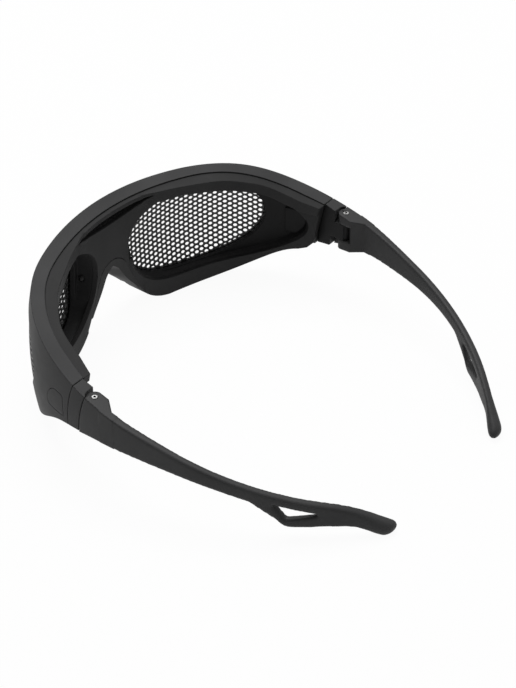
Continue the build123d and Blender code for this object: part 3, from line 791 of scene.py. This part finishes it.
def studio():
    """A pale floor, a white surround and large soft lamps."""
    half = 3.0
    corners = [(-half, -half, 0), (half, -half, 0), (half, half, 0), (-half, half, 0)]
    floor = mesh_object("floor", corners, [(0, 1, 2, 3)])
    material, t, shader = new_material("pale floor")
    shader.inputs["Base Color"].default_value = (0.6, 0.6, 0.6, 1)
    shader.inputs["Roughness"].default_value = 0.9
    white = t.node("ShaderNodeEmission", {"Color": (1, 1, 1, 1), "Strength": 1.0})
    path = t.node("ShaderNodeLightPath").outputs
    seen = t.maths("MAXIMUM", path["Is Camera Ray"], path["Is Transmission Ray"])
    seen = t.maths("MAXIMUM", seen, path["Is Glossy Ray"])
    mixed = t.node(
        "ShaderNodeMixShader",
        {0: t.maths("MULTIPLY", seen, 0.95), 1: shader.outputs[0], 2: white.outputs[0]},
    )
    output = material.node_tree.nodes["Material Output"]
    t.feed(output.inputs["Surface"], mixed.outputs[0])
    floor.data.materials.append(material)

    world = bpy.data.worlds.new("surround")
    world.use_nodes = True
    bpy.context.scene.world = world
    w = Tree(world.node_tree)
    shade = world.node_tree.nodes["Background"]
    path = w.node("ShaderNodeLightPath").outputs
    seen = w.maths("MAXIMUM", path["Is Camera Ray"], path["Is Transmission Ray"])
    shade.inputs["Color"].default_value = (1, 1, 1, 1)
    level = w.node("ShaderNodeMapRange", {"Value": seen, "To Min": 0.42, "To Max": 1.0})
    w.feed(shade.inputs["Strength"], level.outputs[0])

    # Name, place, width in metres and power in watts
    lamps = (
        ("top lamp", (-0.2, -0.3, 1.15), 0.8, 16.0),
        ("side lamp", (1.0, -0.5, 0.7), 0.7, 0.4),
        ("back lamp", (-0.8, 0.7, 0.8), 0.7, 2.0),
    )
    for name, place, size, power in lamps:
        light = bpy.data.lights.new(name, "AREA")
        light.size = size
        light.energy = power
        lamp = linked(name, light)
        lamp.location = place
        lamp.rotation_euler = (Vector((0, 0, 0)) - Vector(place)).to_track_quat("-Z", "Y").to_euler()


def photo_camera():
    """Camera of the photograph: 516 by 688 pixels, with its focal length in pixels."""
    azimuth, elevation = radians(128.32), radians(37.0)
    distance, slide, lift = 799.72 * MM, 11.09 * MM, -16.17 * MM
    focal_px, tall_px, sensor = 2200.0, 688.0, 36.0
    back = Vector((sin(azimuth) * cos(elevation), -cos(azimuth) * cos(elevation), sin(elevation)))
    right = Vector((cos(azimuth), sin(azimuth), 0))
    up = back.cross(right)
    pin_frame = Vector((0, PIN_Y, PIN_TOP_Z))
    data = bpy.data.cameras.new("photo camera")
    data.sensor_width = sensor
    data.lens = focal_px / tall_px * sensor
    data.clip_start = 0.05
    data.clip_end = 20
    camera = linked("photo camera", data)
    turn = Matrix((right, up, back)).transposed().to_4x4()
    camera.matrix_world = Matrix.Translation(pin_frame + back * distance + right * slide + up * lift) @ turn
    bpy.context.scene.camera = camera


steel_coat = coated_steel()
lens_left = punched_lens("punched_lens_left", steel_coat)
lens_right = mirrored(lens_left, "punched_lens_right")
for lens, side in ((lens_left, "left"), (lens_right, "right")):
    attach(lens, "frame")
    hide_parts(f"mesh_lens_{side}")

# Faces turned towards the wearer: painted shade on the outer moulding (inside=0.3), painted light on the
# face-side moulding (inside=1.35)
outer_plastic = moulded_plastic(
    "outer plastic", dark=(0.026, 0.026, 0.0265), light=(0.034, 0.034, 0.0345),
    roughness=0.5, sheen_level=0.12, rounding=0.6 * MM, inside=0.3,
)
inner_plastic = moulded_plastic(
    "face side plastic", dark=(0.015, 0.015, 0.0152), light=(0.020, 0.020, 0.0202),
    roughness=0.56, sheen_level=0.12, rounding=0.5 * MM, inside=1.35,
)
temple_plastic = moulded_plastic(
    "temple plastic", dark=(0.024, 0.024, 0.0245), light=(0.031, 0.031, 0.0315),
    roughness=0.5, sheen_level=0.18, rounding=1.1 * MM,
)
rubber = soft_rubber()
pin_steel = bright_steel()
shaped = (
    (closed_front_frame("closed_front_frame"), "front_frame", outer_plastic, "frame_plastic"),
    (finer_inner_frame("finer_inner_frame"), "inner_frame", inner_plastic, "frame_plastic"),
    (finer_saddle("finer_saddle"), "nose_saddle", rubber, "soft_rubber"),
)
for piece, node, finish, slot in shaped:
    piece.data.materials.clear()
    piece.data.materials.append(finish)
    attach(piece, "frame")
    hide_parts(node)
for side in ("left", "right"):
    temple = rounded_temple(f"temple_{side}", f"rounded_temple_{side}")
    temple.data.materials.clear()
    temple.data.materials.append(temple_plastic)
    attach(temple, f"temple_{side}_body")
    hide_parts(f"temple_{side}")
    dress(f"hinge_block_{side}", outer_plastic)
    dress(f"release_button_{side}", outer_plastic)
    dress(f"hinge_pin_{side}", pin_steel)

studio()
photo_camera()
bpy.context.scene.view_settings.view_transform = "Standard"
